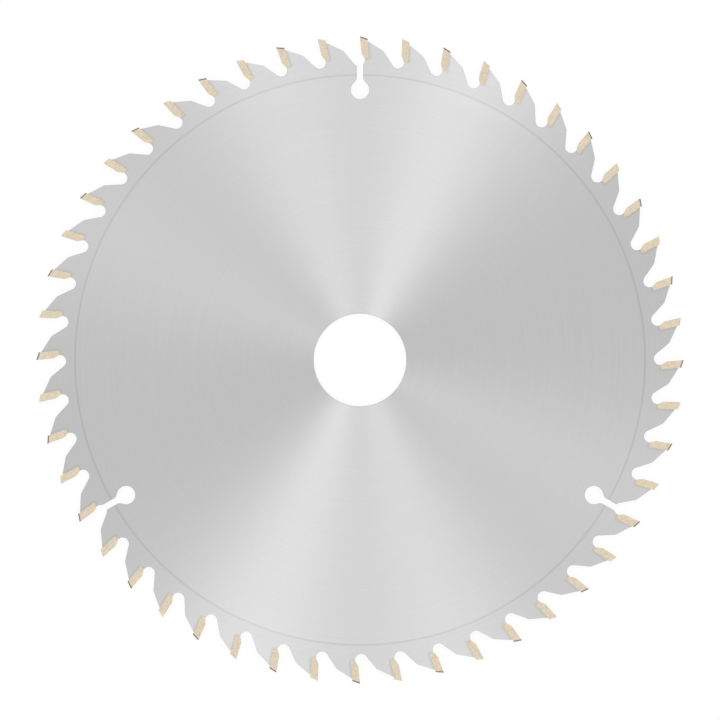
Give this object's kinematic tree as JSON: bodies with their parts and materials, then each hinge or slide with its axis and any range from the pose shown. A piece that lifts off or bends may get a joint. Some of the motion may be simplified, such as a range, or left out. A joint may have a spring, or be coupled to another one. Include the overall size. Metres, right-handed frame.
{
  "type": "tct circular saw blade",
  "caption": "Flat steel disc with a round arbor bore, keyhole expansion slots and brazed carbide-tipped hooked teeth round its rim, for cutting wood.",
  "frame": {"origin": "centre of the arbor bore, half way through the plate", "axes": "+Z along the arbor axis, out of the face seen in the picture, where the teeth cut anticlockwise; +Y through the cutting point of the first tooth, which stands over a keyhole slot"},
  "size_m": [0.21, 0.21, 0.0028],
  "materials": {
    "ground_steel": "tool steel plate, ground in circles round the bore",
    "sintered_carbide": "sand-coloured matt carbide with dark ground edges"
  },
  "bodies": {
    "root": {"saw_plate": "ground_steel", "carbide_tip_01": "sintered_carbide", "carbide_tip_02": "sintered_carbide", "carbide_tip_03": "sintered_carbide", "carbide_tip_04": "sintered_carbide", "carbide_tip_05": "sintered_carbide", "carbide_tip_06": "sintered_carbide", "carbide_tip_07": "sintered_carbide", "carbide_tip_08": "sintered_carbide", "carbide_tip_09": "sintered_carbide", "carbide_tip_10": "sintered_carbide", "carbide_tip_11": "sintered_carbide", "carbide_tip_12": "sintered_carbide", "carbide_tip_13": "sintered_carbide", "carbide_tip_14": "sintered_carbide", "carbide_tip_15": "sintered_carbide", "carbide_tip_16": "sintered_carbide", "carbide_tip_17": "sintered_carbide", "carbide_tip_18": "sintered_carbide", "carbide_tip_19": "sintered_carbide", "carbide_tip_20": "sintered_carbide", "carbide_tip_21": "sintered_carbide", "carbide_tip_22": "sintered_carbide", "carbide_tip_23": "sintered_carbide", "carbide_tip_24": "sintered_carbide", "carbide_tip_25": "sintered_carbide", "carbide_tip_26": "sintered_carbide", "carbide_tip_27": "sintered_carbide", "carbide_tip_28": "sintered_carbide", "carbide_tip_29": "sintered_carbide", "carbide_tip_30": "sintered_carbide", "carbide_tip_31": "sintered_carbide", "carbide_tip_32": "sintered_carbide", "carbide_tip_33": "sintered_carbide", "carbide_tip_34": "sintered_carbide", "carbide_tip_35": "sintered_carbide", "carbide_tip_36": "sintered_carbide", "carbide_tip_37": "sintered_carbide", "carbide_tip_38": "sintered_carbide", "carbide_tip_39": "sintered_carbide", "carbide_tip_40": "sintered_carbide", "carbide_tip_41": "sintered_carbide", "carbide_tip_42": "sintered_carbide", "carbide_tip_43": "sintered_carbide", "carbide_tip_44": "sintered_carbide", "carbide_tip_45": "sintered_carbide", "carbide_tip_46": "sintered_carbide", "carbide_tip_47": "sintered_carbide", "carbide_tip_48": "sintered_carbide"}
  },
  "joints": []
}
